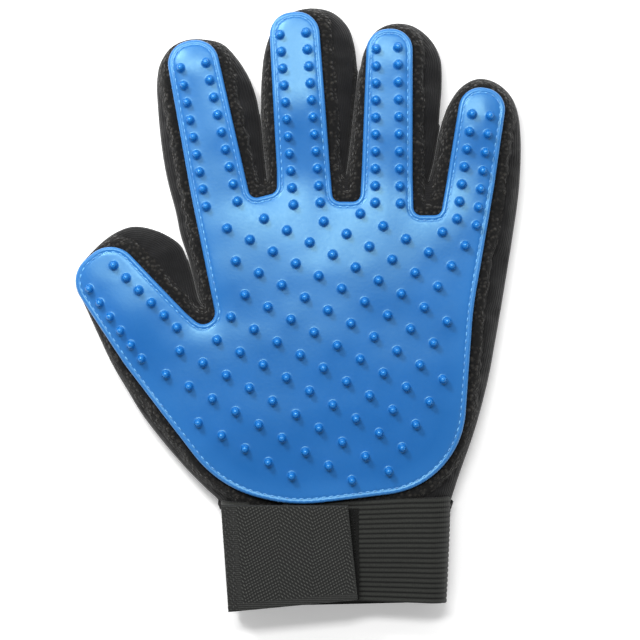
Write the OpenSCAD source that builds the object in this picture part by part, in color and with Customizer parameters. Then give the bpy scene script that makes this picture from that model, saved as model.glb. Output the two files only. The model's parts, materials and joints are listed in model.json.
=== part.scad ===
// Pet grooming glove for the left hand, lying on its back with the rubber pad up.
// Millimetres. +Y points from the wrist to the fingertips, +Z out of the rubber pad.
// Each finger is drawn in its own frame: x across it to the right, y along it from its flex line.

/* [Fabric body] */
// Thickness of each fabric panel
fabric_t = 1.4; // [1:0.1:1.6]
// Inside height from the back of the hand panel to the palm panel
cavity_h = 14.4; // [12:0.4:17.2]
// Gap between a finger's panels and the palm's along a flex line
flex_gap = 0.4; // [0.4:0.05:0.6]

/* [Rubber pad] */
// Thickness of the moulded rubber sheet
pad_t = 2.2; // [1.6:0.1:2.6]
// Height of a rubber nub above the sheet
nub_h = 4.2; // [3:0.1:4.4]
// Diameter of a nub at its foot
nub_d = 3.2; // [2.6:0.1:3.4]
// Diameter of a nub at its end
nub_end_d = 2.2; // [1.6:0.1:2.4]
// Distance between nubs along a finger
nub_pitch = 6.6; // [6:0.1:7.4]
// Distance from the pad's edge to the stitch groove
seam_inset = 1.4; // [1.2:0.1:1.8]
// Width of the stitch groove
seam_w = 0.8; // [0.6:0.1:1]

/* [Fingers] */
// Flex line to tip centre, index finger tube
index_len = 42.5; // [40:0.5:44]
// Tip radius, index finger tube
index_r = 15.8; // [15:0.1:16]
// Flex line to tip centre, middle finger tube
middle_len = 45.8; // [43:0.2:45.8]
// Tip radius, middle finger tube
middle_r = 17; // [16:0.1:17]
// Flex line to tip centre, ring finger tube
ring_len = 39.7; // [38:0.1:42]
// Tip radius, ring finger tube
ring_r = 16.2; // [15.4:0.1:16.4]
// Flex line to tip centre, little finger tube
little_len = 26.9; // [25:0.1:29]
// Tip radius, little finger tube
little_r = 15; // [14:0.1:15]
// Flex line to tip centre, thumb tube
thumb_len = 22.8; // [22:0.1:24]
// Tip radius, thumb tube
thumb_r = 21.2; // [20:0.1:21.2]

/* [Cuff] */
// Length of the wrist cuff
cuff_len = 41.4; // [36:0.2:41.4]
// Left side of the cuff
cuff_left = -31; // [-31:0.5:-29]
// Right side of the cuff
cuff_right = 58.9; // [57:0.1:59]
// Thickness of the woven closure tape
tape_t = 1.2; // [1:0.1:1.4]
// Pile height of the hook and loop patches
pile_t = 0.7; // [0.5:0.1:0.8]
// Free gap between the hooks and the loops
pile_gap = 0.3; // [0.3:0.05:0.4]

/* [Hidden] */
mesh_z = fabric_t + cavity_h;
pad_z = mesh_z + fabric_t;
pad_top = pad_z + pad_t;
groove_h = 0.5;
cuff_y = -76;
flap_gap = 0.6;
tape_z = pad_z + pile_t + pile_gap + pile_t;
tape_x = -24.6;
edge = flex_gap / 2;

// A finger: [direction, middle of its flex line, tube half width at the flex line, tube tip
// [across, along], tube tip radius, pad middle and half width at the flex line, pad tip
// [across, along], pad tip radius, half the distance between nub columns, nub rows on the palm]
index = [101.5, [-32.6, 47.5], 19.2, [1.6, index_len], index_r,
    1, 11, [1.1, index_len + 5.1], 9.7, 5.5, 1];
middle = [94, [2.55, 54.4], 14.8, [3.4, middle_len], middle_r,
    -1.2, 10.3, [-0.9, middle_len + 5.6], 9.6, 5, 2];
ring = [89.4, [34.4, 55.35], 15, [4.8, ring_len], ring_r,
    -0.5, 9.8, [-0.1, ring_len + 4.6], 8.8, 4.4, 2];
little = [81.3, [67.8, 48.3], 17, [-0.7, little_len], little_r,
    -1.7, 9.2, [-1.8, little_len + 1.6], 8.9, 3.6, 2];
thumb = [130, [-55.1, -11.4], 20, [6.8, thumb_len], thumb_r,
    -0.8, 15.5, [0.2, thumb_len + 6.9], 11.8, 7.5, 1];

// Plane geometry
function unit(v) = v / norm(v);
function left(v) = [-v[1], v[0]];
function turn(v, a) = [v[0] * cos(a) - v[1] * sin(a), v[0] * sin(a) + v[1] * cos(a)];
function bend(a, b) = atan2(a[0] * b[1] - a[1] * b[0], a * b);
function spot(c, i) = let (k = (i + len(c)) % len(c)) [c[k][0], c[k][1]];

// Points of one corner [x, y, radius] between its neighbours p and n, every 15 degrees of arc
function corner(p, q, n, r) = let (
    a = unit(q - p),
    b = unit(n - q),
    t = bend(a, b),
    s = sign(t),
    steps = max(1, ceil(abs(t) / 15)),
    c = q - a * r * tan(abs(t) / 2) + left(a) * s * r
) r <= 0 || abs(t) < 1 ? [q] : [for (k = [0 : steps]) c - turn(left(a) * s * r, t * k / steps)];

// A closed outline from corners [x, y, radius], listed anticlockwise
function outline(c) = [for (i = [0 : len(c) - 1])
    each corner(spot(c, i - 1), spot(c, i), spot(c, i + 1), c[i][2])];

// The same corners moved inwards by d
function inset(c, d) = [for (i = [0 : len(c) - 1]) let (
    p = spot(c, i - 1),
    q = spot(c, i),
    n = spot(c, i + 1),
    a = unit(q - p),
    b = unit(n - q),
    m = q + d * (left(a) + left(b)) / (1 + a * b),
    r = c[i][2]
) [m[0], m[1], r <= 0 ? 0 : max(0, r - d * sign(bend(a, b)))]];

// Where the line from p touches a circle; side is 1 for its left, -1 for its right
function touch(p, c, r, side) = c + turn(unit(p - c), -side * acos(r / norm(p - c))) * r;

// A tapered strip with a round end, from base y0, middle x0 and half width w to a tip circle
function strip(x0, w, y0, c, r) = let (
    rp = touch([x0 + w, y0], c, r, -1),
    lp = touch([x0 - w, y0], c, r, 1),
    a0 = atan2(rp[1] - c[1], rp[0] - c[0]),
    a1 = atan2(lp[1] - c[1], lp[0] - c[0]),
    a2 = a1 < a0 ? a1 + 360 : a1,
    steps = ceil((a2 - a0) / 12)
) [[x0 - w, y0], [x0 + w, y0], each [for (k = [0 : steps])
    let (a = a0 + (a2 - a0) * k / steps) c + r * [cos(a), sin(a)]]];

// A point of finger f's own frame in the glove's frame
function at(f, x, y) = f[1] + turn([x, y], f[0] - 90);
function at_corner(f, x, y) = [at(f, x, y)[0], at(f, x, y)[1], 0];

module on_finger(f) {
    translate([f[1][0], f[1][1], 0])
    rotate([0, 0, f[0] - 90])
    children();
}

module slab(z, h) {
    translate([0, 0, z])
    linear_extrude(height = h)
    children();
}

// Outline of a finger's fabric tube, d inside it, from y0 on
module tube_shape(f, d, y0) {
    polygon(strip(0, f[2] - d, y0, f[3], f[4] - d));
}

// Outline of a finger's rubber strip, d inside it, from y0 on
module pad_shape(f, d, y0) {
    polygon(strip(f[5], f[6] - d, y0, f[7], f[8] - d));
}

// Corners of the palm's fabric: wrist, little finger side, flex lines, thumb web, thumb side
palm_corners = [
    [cuff_left, cuff_y, 0],
    [cuff_right, cuff_y, 0],
    [70.5, -41, 160],
    [82, 17, 200],
    at_corner(little, little[2], -edge),
    at_corner(little, -little[2], -edge),
    at_corner(ring, ring[2], -edge),
    at_corner(ring, -ring[2], -edge),
    at_corner(middle, middle[2], -edge),
    at_corner(middle, -middle[2], -edge),
    at_corner(index, index[2], -edge),
    at_corner(index, -index[2], -edge),
    at_corner(thumb, 21, -edge),
    at_corner(thumb, -21, -edge),
    [-59, -44, 120]
];

// Corners of the palm's rubber, with its finger ends drawn out to y
function pad_corners(y) = [
    [-31.4, -69.1, 45],
    [-2.8, -76.2, 60],
    [62.2, -68.3, 34],
    [67.3, 0, 150],
    at_corner(little, little[5] + little[6], y),
    at_corner(little, little[5] - little[6], y),
    [54.6, 36, 3],
    [44, 36, 3],
    at_corner(ring, ring[5] + ring[6], y),
    at_corner(ring, ring[5] - ring[6], y),
    [23.4, 41.3, 3],
    [12.8, 41.3, 3],
    at_corner(middle, middle[5] + middle[6], y),
    at_corner(middle, middle[5] - middle[6], y),
    [-8.9, 45.3, 3],
    [-19.1, 42.6, 3],
    at_corner(index, index[5] + index[6], y),
    at_corner(index, index[5] - index[6], y),
    [-30.4, -13.2, 4.5],
    at_corner(thumb, thumb[5] + thumb[6], y),
    at_corner(thumb, thumb[5] - thumb[6], y)
];

// Palm nubs stand on a slanted lattice, well inside the pad's edge
nub_start = [5.5, -9.05];
nub_row = [8.9, -5.03];
nub_step = [5.33, 8.6];
function nub_spot(i, j) = nub_start + nub_row * i + nub_step * j
    - [0.02 * i * j, 0.066 * i * i - 0.02 * i * j + 0.078 * j * j];
function nub_fits(p) =
    p[1] < 39.2 - 0.2 * max(0, p[0] - 20)
    && (p[1] < -9 || p[0] > -0.183 * p[1] - 28.1)
    && p[0] < 61 + 0.085 * p[1]  + (p[1] > 4 ? 0.1 * (p[1] - 4) + 1.8 : 0)
    && p * [0.802, 0.597] > -60.5
    && p * [0.492, 0.87] > -60
    && p * [0.85, -0.527] < 67
    && p[1] > -69.5 + 0.14 * max(0, p[0])
    && (p[0] > -31 || p * [-0.643, 0.766] < 19);

module nub(p) {
    translate([p[0], p[1], pad_top - 0.1])
    cylinder(h = nub_h + 0.1, d1 = nub_d, d2 = nub_end_d, $fn = 24);
}

// The two nub columns of finger f from its flex line to its tip
module nub_columns(f) {
    reach = f[7][1] - 5.2;
    rows = floor(reach / nub_pitch);
    for (k = [0 : rows], side = [-1, 1]) {
        y = 5.2 + k * nub_pitch;
        nub([f[5] + (f[7][0] - f[5]) * y / f[7][1] + side * f[9], y]);
    }
}

// The rows of those columns that stand on the palm
module nub_columns_on_palm(f) {
    for (k = [0 : f[10] - 1], side = [-1, 1]) {
        p = at(f, f[5] + side * f[9], -5.6 - k * nub_pitch);
        nub(p);
    }
}

// Rubber pad
module pad_palm() {
    color("royalblue") {
        difference() {
            slab(pad_z, pad_t) polygon(outline(pad_corners(-edge)));
            slab(pad_top - groove_h, groove_h + 1) palm_seam_shape(0);
        }
        for (i = [-6 : 6], j = [-6 : 7])
            if (nub_fits(nub_spot(i, j)))
                nub(nub_spot(i, j));
        nub_columns_on_palm(index);
        nub_columns_on_palm(middle);
        nub_columns_on_palm(ring);
        nub_columns_on_palm(little);
        nub_columns_on_palm(thumb);
    }
}

// The stitch groove's ring, less play on either side for the thread in it
module palm_seam_shape(play) {
    intersection() {
        polygon(outline(pad_corners(-edge)));
        difference() {
            polygon(outline(inset(pad_corners(8), seam_inset + play)));
            polygon(outline(inset(pad_corners(8), seam_inset + seam_w - play)));
        }
    }
}

module finger_pad(f) {
    color("royalblue")
    on_finger(f) {
        difference() {
            slab(pad_z, pad_t) pad_shape(f, 0, edge);
            slab(pad_top - groove_h, groove_h + 1) finger_seam_shape(f, 0);
        }
        nub_columns(f);
    }
}

module finger_seam_shape(f, play) {
    intersection() {
        pad_shape(f, 0, edge);
        difference() {
            pad_shape(f, seam_inset + play, -3);
            pad_shape(f, seam_inset + seam_w - play, -4);
        }
    }
}

// Stitching in the pad's groove
module seam_palm() {
    color("navy")
    slab(pad_top - groove_h + 0.02, groove_h - 0.17) palm_seam_shape(0.08);
}

module finger_seam(f) {
    color("navy")
    on_finger(f)
    slab(pad_top - groove_h + 0.02, groove_h - 0.17) finger_seam_shape(f, 0.08);
}

// Palm side fabric under the pad
module mesh_palm() {
    color("dimgray")
    slab(mesh_z, fabric_t) polygon(outline(palm_corners));
}

module finger_mesh(f) {
    color("dimgray")
    on_finger(f)
    slab(mesh_z, fabric_t) tube_shape(f, 0, edge);
}

// Back of the hand fabric
module back_palm() {
    color("slategray")
    slab(0, fabric_t) polygon(outline(palm_corners));
}

module finger_back(f) {
    color("slategray")
    on_finger(f)
    slab(0, fabric_t) tube_shape(f, 0, edge);
}

// Strip that joins a finger's two faces round its sides and tip
module finger_sidewall(f) {
    color("darkslategray")
    on_finger(f)
    slab(fabric_t, cavity_h)
    difference() {
        tube_shape(f, 0, edge);
        polygon(strip(0, f[2] - fabric_t, -1, f[3], f[4] - fabric_t));
    }
}

// Wall of the palm between its two faces
module palm_wall_shape() {
    difference() {
        polygon(outline(palm_corners));
        polygon(outline(inset(palm_corners, fabric_t)));
    }
}

// Palm wall cut to a part of the outline
module palm_gusset(region) {
    color("darkslategray")
    slab(fabric_t, cavity_h)
    intersection() {
        palm_wall_shape();
        polygon(region);
    }
}

module gusset_little_side() {
    palm_gusset([[56, cuff_y], [90, cuff_y], [90, 50], [83.2, 50], [82.9, 43], [60, 0]]);
}

module gusset_thumb_side() {
    palm_gusset([[-28, cuff_y], [-34, -60], [-68.7, -22.8], [-76, -28], [-60, cuff_y]]);
}

module gusset_thumb_web() {
    palm_gusset([[-36, 4], [-34, 20], [-48, 44.2], [-54, 43], [-41.5, 0]]);
}

// Closed fabric between the roots of neighbouring fingers
module finger_webs() {
    color("darkslategray")
    slab(fabric_t, cavity_h)
    intersection() {
        polygon(outline(palm_corners));
        union() {
            translate([-15.2, 47]) square([4.4, 8]);
            translate([15.9, 51]) square([4.9, 6]);
            translate([48, 46]) square([4.4, 11]);
        }
    }
}

// Wrist cuff
function cuff_corners() = [
    [cuff_left, 0, 1.5],
    [cuff_right, 0, 6],
    [cuff_right, pad_z, 6],
    [cuff_left, pad_z, 1.5]
];

// A cross-section drawn in x and z, run from y0 to y1
module along_cuff(y0, y1) {
    translate([0, y1, 0])
    rotate([90, 0, 0])
    linear_extrude(height = y1 - y0)
    children();
}

module wrist_elastic() {
    color("black")
    along_cuff(cuff_y - cuff_len, cuff_y)
    difference() {
        polygon(outline(cuff_corners()));
        polygon(outline(inset(cuff_corners(), fabric_t)));
        translate([-20, mesh_z - 1]) square([14, fabric_t + 2]);
    }
}

module cuff_seam_tape() {
    color("gray")
    along_cuff(cuff_y - 10, cuff_y - 1)
    difference() {
        polygon(outline(inset(cuff_corners(), fabric_t)));
        polygon(outline(inset(cuff_corners(), fabric_t + 0.8)));
        translate([-20, mesh_z - 1.5]) square([14, 3]);
    }
}

module loop_patch() {
    color("gray")
    slab(pad_z, pile_t)
    translate([-5, cuff_y - 37]) square([28.2, 36]);
}

module tab_root() {
    color("dimgray")
    translate([cuff_left + 0.4, cuff_y - cuff_len + 0.8, pad_z])
    cube([tape_x - edge - cuff_left - 0.4, cuff_len - 0.8 - flap_gap, tape_z + tape_t - pad_z]);
}

module tab_stitching() {
    color("gray")
    for (x = [-29, -27], k = [0 : 12])
        translate([x, cuff_y - cuff_len + 2.4 + k * 3, tape_z + tape_t])
        cube([0.5, 2, 0.3]);
}

module closure_tab() {
    color("dimgray")
    slab(tape_z, tape_t)
    polygon([
        [tape_x + edge, cuff_y - cuff_len + 0.8],
        [22.2, cuff_y - 36.4],
        [17.5, cuff_y - flap_gap],
        [tape_x + edge, cuff_y - flap_gap]
    ]);
}

module hook_patch() {
    color("black")
    slab(tape_z - pile_t, pile_t)
    polygon([[-3, cuff_y - 35], [19.8, cuff_y - 34.4], [16.3, cuff_y - 4], [-3, cuff_y - 4]]);
}

pad_palm();
finger_pad(index);  // pad_index
finger_pad(middle);  // pad_middle
finger_pad(ring);  // pad_ring
finger_pad(little);  // pad_little
finger_pad(thumb);  // pad_thumb
seam_palm();
finger_seam(index);  // seam_index
finger_seam(middle);  // seam_middle
finger_seam(ring);  // seam_ring
finger_seam(little);  // seam_little
finger_seam(thumb);  // seam_thumb
mesh_palm();
finger_mesh(index);  // mesh_index
finger_mesh(middle);  // mesh_middle
finger_mesh(ring);  // mesh_ring
finger_mesh(little);  // mesh_little
finger_mesh(thumb);  // mesh_thumb
back_palm();
finger_back(index);  // back_index
finger_back(middle);  // back_middle
finger_back(ring);  // back_ring
finger_back(little);  // back_little
finger_back(thumb);  // back_thumb
finger_sidewall(index);  // sidewall_index
finger_sidewall(middle);  // sidewall_middle
finger_sidewall(ring);  // sidewall_ring
finger_sidewall(little);  // sidewall_little
finger_sidewall(thumb);  // sidewall_thumb
gusset_little_side();
gusset_thumb_side();
gusset_thumb_web();
finger_webs();
wrist_elastic();
cuff_seam_tape();
loop_patch();
hook_patch();
tab_root();
tab_stitching();
closure_tab();
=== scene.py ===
"""Looks of the pet grooming glove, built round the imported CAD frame.

Lengths are millimetres in the code and metres in the meshes. +Y points from the wrist to the
fingertips and +Z out of the rubber pad.
"""

import json
import math

import bpy
import numpy as np
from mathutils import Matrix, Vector
from mathutils.geometry import delaunay_2d_cdt


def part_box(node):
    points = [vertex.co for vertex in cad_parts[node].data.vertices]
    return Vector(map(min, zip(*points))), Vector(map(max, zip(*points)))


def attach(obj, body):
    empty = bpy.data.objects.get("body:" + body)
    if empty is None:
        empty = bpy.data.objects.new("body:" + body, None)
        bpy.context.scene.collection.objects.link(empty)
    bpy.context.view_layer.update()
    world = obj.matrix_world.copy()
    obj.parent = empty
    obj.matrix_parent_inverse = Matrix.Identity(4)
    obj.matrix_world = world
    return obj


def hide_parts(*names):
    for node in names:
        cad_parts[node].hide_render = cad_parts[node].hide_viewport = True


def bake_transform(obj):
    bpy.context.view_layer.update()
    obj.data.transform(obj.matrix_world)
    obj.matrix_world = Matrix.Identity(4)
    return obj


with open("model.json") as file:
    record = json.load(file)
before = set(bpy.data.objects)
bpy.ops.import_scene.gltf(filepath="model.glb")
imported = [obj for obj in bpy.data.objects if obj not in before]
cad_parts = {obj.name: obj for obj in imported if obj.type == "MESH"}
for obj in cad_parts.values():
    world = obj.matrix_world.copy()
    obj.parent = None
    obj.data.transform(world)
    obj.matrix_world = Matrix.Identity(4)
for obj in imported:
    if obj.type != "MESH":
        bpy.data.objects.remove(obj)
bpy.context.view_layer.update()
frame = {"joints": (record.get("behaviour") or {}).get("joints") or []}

MM = 0.001
FINGERS = ["index", "middle", "ring", "little", "thumb"]
# Where faces have owners, the palm is -1 and a finger is its place in FINGERS
PARTS = ["palm"] + FINGERS
# Thickness of the rubber, height of its nubs, and the gap between it and the fabric
PAD_T = 2.2
NUB_H = 4.2
PAD_SEAT = 0.12
# Height of the fabric's outermost line, and its thickness
RIM_Z = 7.6
SKIN_T = 1.2


def body_name(finger):
    return finger if finger in ("thumb", "hand") else finger + "_finger"


HINGE = {}
for joint in frame["joints"]:
    for finger_name in FINGERS:
        if joint["child"] == body_name(finger_name):
            HINGE[finger_name] = (np.array(joint["pos_m"]) / MM, np.array(joint["axis"][:2], float))


def box_mm(node_name):
    """Lowest and highest corner of a CAD node."""
    return [np.array(corner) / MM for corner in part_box(node_name)]


def along_across(finger, xy):
    """Distance past the finger's flex line, and across it to the right."""
    pos, axis = HINGE[finger]
    d = xy - pos[:2]
    return d @ np.array([-axis[1], axis[0]]), d @ axis


def in_glove(finger, x, y):
    """A point of the finger's own frame in the glove's."""
    if finger == "palm":
        return np.array([x, y], float)
    pos, axis = HINGE[finger]
    return pos[:2] + axis * x + np.array([-axis[1], axis[0]]) * y


def unit(rows):
    """The rows of an array at unit length."""
    return rows / np.maximum(np.linalg.norm(rows, axis=1, keepdims=True), 1e-12)


# -------- plane outlines
def resample(points, step, closed):
    """The same line with points evenly spaced, about a step apart."""
    p = np.array(points, float)
    if closed:
        p = np.vstack([p, p[:1]])
    run = np.concatenate([[0], np.cumsum(np.linalg.norm(np.diff(p, axis=0), axis=1))])
    count = max(2, int(round(run[-1] / step)))
    at = np.linspace(0, run[-1], count + 1)
    q = np.column_stack([np.interp(at, run, p[:, k]) for k in range(2)])
    return q[:-1] if closed else q


def rounded(corners, step):
    """A closed outline from corners (x, y, radius), evenly spaced."""
    n, out = len(corners), []
    xy = [np.array(c[:2], float) for c in corners]
    for i in range(n):
        p, q, r = xy[i - 1], xy[i], corners[i][2]
        a = (q - p) / np.linalg.norm(q - p)
        b = (xy[(i + 1) % n] - q) / np.linalg.norm(xy[(i + 1) % n] - q)
        t = math.atan2(a[0] * b[1] - a[1] * b[0], a @ b)
        if r <= 0 or abs(t) < 0.02:
            out.append(q)
            continue
        s = 1 if t > 0 else -1
        side = np.array([-a[1], a[0]]) * s * r
        centre = q - a * r * math.tan(abs(t) / 2) + side
        for w in np.linspace(0, t, 17):
            v = np.array([side[0] * math.cos(w) - side[1] * math.sin(w),
                          side[0] * math.sin(w) + side[1] * math.cos(w)])
            out.append(centre - v)
    return resample(out, step, True)


def smooth_through(points, step):
    """A centripetal Catmull-Rom curve through open points, evenly spaced."""
    p = np.array(points, float)
    p = np.vstack([2 * p[0] - p[1], p, 2 * p[-1] - p[-2]])
    out = []
    for i in range(1, len(p) - 2):
        q = p[i - 1:i + 3]
        gaps = np.sqrt(np.linalg.norm(np.diff(q, axis=0), axis=1))
        t = np.concatenate([[0], np.cumsum(gaps)])
        for w in np.linspace(t[1], t[2], 14)[:-1]:
            a = [((t[k + 1] - w) * q[k] + (w - t[k]) * q[k + 1]) / (t[k + 1] - t[k])
                 for k in range(3)]
            b = [((t[k + 2] - w) * a[k] + (w - t[k]) * a[k + 1]) / (t[k + 2] - t[k])
                 for k in range(2)]
            out.append(((t[2] - w) * b[0] + (w - t[1]) * b[1]) / (t[2] - t[1]))
    out.append(p[-2])
    return resample(out, step, False)


def in_chunks(work, points, size=2000):
    """The work done on so many points at a time, to spare memory."""
    return np.concatenate([work(points[i:i + size]) for i in range(0, max(len(points), 1), size)])


def to_polyline(xy, line, closed):
    """Distance of each point to a polyline."""
    a = np.asarray(line, float)
    b = np.roll(a, -1, axis=0) if closed else a[1:]
    a = a if closed else a[:-1]
    d = b - a
    dd = np.maximum((d * d).sum(1), 1e-12)

    def reach(some):
        p = some[:, None, :] - a[None]
        t = np.clip((p * d[None]).sum(2) / dd, 0, 1)
        e = p - t[..., None] * d[None]
        return np.sqrt((e * e).sum(2).min(1))

    return in_chunks(reach, xy)


def to_nearest(xy, others):
    """Distance of each point to the nearest of the others."""
    return in_chunks(lambda some: np.sqrt(((some[:, None] - others[None]) ** 2).sum(2).min(1)), xy)


def inside(xy, polygon):
    """Which points lie inside a closed outline."""
    a = np.asarray(polygon, float)
    b = np.roll(a, -1, axis=0)
    dy = np.where(b[:, 1] == a[:, 1], 1e-12, b[:, 1] - a[:, 1])

    def hit(some):
        x, y = some[:, 0:1], some[:, 1:2]
        xs = a[:, 0] + (y - a[:, 1]) * (b[:, 0] - a[:, 0]) / dy
        return (((a[:, 1] > y) != (b[:, 1] > y)) & (x < xs)).sum(1) % 2 == 1

    return in_chunks(hit, xy)


def well_inside(xy, outline, clearance):
    """Which points lie inside an outline and further than the clearance from it. Nan points don't."""
    ok = ~np.isnan(xy[:, 0])
    ok[ok] = inside(xy[ok], outline) & (to_polyline(xy[ok], outline, True) > clearance)
    return ok


def inward(line, d):
    """A dense closed outline moved inwards by d. Points that fall nearer than d become nan."""
    t = unit(np.roll(line, -1, axis=0) - np.roll(line, 1, axis=0))
    n = np.column_stack([-t[:, 1], t[:, 0]])
    x, y = line.T
    area = 0.5 * (x * np.roll(y, -1) - np.roll(x, -1) * y).sum()
    moved = line + n * d * (1 if area > 0 else -1)
    far = to_polyline(moved, line, True)
    moved[far < abs(d) * 0.97] = np.nan
    return moved


def slit(*points):
    """The two sides of a narrow gap between fingers, which closes below its mouth: down the left,
    and up the right."""
    closed_half, mouth_half, fade = 0.04, 0.2, 2.0
    p = smooth_through(points, 1.0)
    t = unit(np.gradient(p, axis=0))
    n = np.column_stack([-t[:, 1], t[:, 0]])
    half = (closed_half + mouth_half * np.exp(-np.arange(len(p)) / fade))[:, None]
    return p - n * half, (p + n * half)[::-1]


# Size of the grid of random heights behind the noise, and where its first point lies
LATTICE = 96
LATTICE_SHIFT = 40.37
lattice = np.random.RandomState(7).rand(6, LATTICE, LATTICE) * 2 - 1


def noise(xy, size, layer=0):
    """Smooth, repeatable noise of about unit height."""
    p = np.asarray(xy) / size + LATTICE_SHIFT
    i = np.floor(p).astype(int)
    f = p - i
    f = f * f * (3 - 2 * f)
    g = lattice[layer]
    x0, y0 = i[:, 0] % LATTICE, i[:, 1] % LATTICE
    x1, y1 = (x0 + 1) % LATTICE, (y0 + 1) % LATTICE
    top = g[x0, y0] * (1 - f[:, 0]) + g[x1, y0] * f[:, 0]
    low = g[x0, y1] * (1 - f[:, 0]) + g[x1, y1] * f[:, 0]
    return top * (1 - f[:, 1]) + low * f[:, 1]


def smoothstep(a, b, x):
    """0 before a, 1 past b, and an easy curve between."""
    t = np.clip((x - a) / (b - a), 0, 1)
    return t * t * (3 - 2 * t)


def quarter(q):
    """Rise of a quarter circle of unit radius, from 0 at q = 0 to 1 at q = 1."""
    return np.sqrt(np.clip(1 - (1 - np.clip(q, 0, 1)) ** 2, 0, 1))


def tip(finger, middle, half, tip_x, tip_y, r):
    """Four pad corners up one side of a finger, round its tip and down the other side."""
    k = 0.94 * r
    return [(finger, middle + half, 0, 30), (finger, tip_x + r, tip_y + r, k),
            (finger, tip_x - r, tip_y + r, k), (finger, middle - half, 0, 30)]


# Rubber pad: corners anticlockwise (part, x, y, radius). A finger's are in its own frame
PAD_CORNERS = [
    ("palm", -31.4, -69.1, 45), ("palm", -2.8, -76.2, 60), ("palm", 62.2, -68.3, 34),
    ("palm", 67, 0, 150),
    *tip("little", -1.7, 9.2, -1.8, 28.5, 8.9),
    ("palm", 54.6, 36.2, 3), ("palm", 44, 36.2, 3),
    *tip("ring", -0.5, 9.8, -0.1, 44.3, 8.8),
    ("palm", 23.4, 41.5, 3), ("palm", 12.8, 41.5, 3),
    *tip("middle", -1.2, 10.3, -0.9, 51.4, 9.6),
    ("palm", -8.9, 45.1, 3), ("palm", -19.1, 42.4, 3),
    *tip("index", 1, 11, 1.1, 47.6, 9.7),
    ("palm", -30.4, -13.2, 4.5),
    *tip("thumb", -0.8, 15.5, 0.2, 29.7, 11.8),
]
pad_line = rounded([(*in_glove(p, x, y), r) for p, x, y, r in PAD_CORNERS], 0.9)

# Fabric outline, clockwise from the left of the wrist
WRIST_Y = -79.2
WRIST_LEFT, WRIST_RIGHT = -29.9, 57.6
THUMB = [(WRIST_LEFT, WRIST_Y), (-31.4, -75.4), (-36.9, -70), (-45.8, -60.9), (-60.8, -42.5),
         (-67.6, -31.5), (-73.6, -21.2), (-79.4, -8.8), (-83.9, 1.5), (-86.7, 8.8), (-85.6, 16.2),
         (-79.6, 24), (-73.1, 29.3), (-65.6, 32.2), (-57.2, 31), (-49.7, 27.4), (-46.2, 24.2),
         (-44.3, 19.8)]
INDEX = [(-43.8, 20.2), (-46.6, 28.5), (-48.6, 38), (-52, 51), (-54.2, 64), (-55.7, 80), (-56, 88),
         (-54.9, 95.3), (-50.9, 101.6), (-44.8, 104.8), (-37.3, 105.2), (-30.4, 103.7), (-24.5, 97.8),
         (-19.9, 90.3), (-17.2, 83), (-15.9, 76.4)]
MIDDLE = [(-15.3, 76.8), (-15.1, 89.3), (-13.6, 101.6), (-11, 108), (-6.2, 113.8), (2.5, 117.4),
          (12.2, 116.2), (18.4, 110.8), (21.1, 103.6), (22.4, 93.6)]
RING = [(23.4, 93.6), (25.2, 101), (29.7, 108.4), (36, 111.4), (43.8, 110.7), (50.8, 105.6),
        (54.8, 98), (55.4, 88), (54.7, 78), (54.3, 72.6)]
LITTLE = [(55.4, 73), (58.2, 80), (63.3, 87), (69.5, 90), (76, 88.7), (81.8, 84), (85, 77.3),
          (86.3, 66), (85.6, 47), (83, 27.7), (80, 9), (76.8, -9.8), (73.3, -28.5), (68.3, -47.2),
          (61.8, -65.9), (58.8, -75.4), (WRIST_RIGHT, WRIST_Y)]
SLITS = [slit((-43.8, 20), (-41.6, 11.5), (-39.6, 4), (-37.4, 0.6)),
         slit((-15.55, 77.2), (-14.9, 70), (-14.2, 62), (-12.8, 49.6)),
         slit((22.95, 94), (21.1, 78), (19.2, 60.4), (18, 52)),
         slit((55.1, 72.4), (53.6, 65), (52.3, 57.5), (50.2, 49.5))]
STEP = 0.9
# Width of the mesh border that shows round the pad
MESH_W = 5
skin_line = [smooth_through(THUMB, STEP)]
for shape, (down, up) in zip([INDEX, MIDDLE, RING, LITTLE], SLITS):
    skin_line += [down[1:], up[:-1], smooth_through(shape, STEP)]
skin_line = np.vstack(skin_line)
keep = np.linalg.norm(np.diff(skin_line, axis=0, prepend=skin_line[-1:]), axis=1) > 0.25
skin_line = skin_line[keep][::-1]

# The same outline with its sides drawn on below the wrist, to measure distances from
BELOW_WRIST = -135
side_line = np.vstack([[WRIST_RIGHT, BELOW_WRIST], skin_line, [WRIST_LEFT, BELOW_WRIST]])
# How far past each flex line the finger's swell is highest
SWELLS = dict(zip(FINGERS, (50, 27, 44, 26, 16)))


# In the functions below, ds is a point's distance in from the fabric's outline, and dp its distance
# out from the rubber pad's, negative under the rubber
def crown(xy, ds):
    """Height of the palm side fabric away from its edges: the palm and fingers swell a little."""
    z = 13.8 + 2.9 * (1 - np.exp(-ds / 7.5))
    # the swell of the palm, then the dip below the fingers
    z += 2.2 * np.exp(-((xy[:, 0] - 14) / 52) ** 2 - ((xy[:, 1] + 22) / 40) ** 2)
    z -= 1.3 * np.exp(-((xy[:, 0] - 12) / 60) ** 2 - ((xy[:, 1] - 50) / 17) ** 2)
    for finger, swell_at in SWELLS.items():
        u, v = along_across(finger, xy)
        z += 1.5 * np.exp(-((u - swell_at) / 15) ** 2 - (v / 18) ** 2)
    return z + (0.45 * noise(xy, 21, 2) + 0.1 * noise(xy, 9, 4)) * smoothstep(2, 8, ds)


def fields(xy):
    """ds and dp of each point."""
    ds = to_polyline(xy, side_line, False)
    ds[ds < 1e-4] = 0
    dp = to_polyline(xy, pad_line, True)
    dp[inside(xy, pad_line)] *= -1
    return ds, dp


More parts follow.
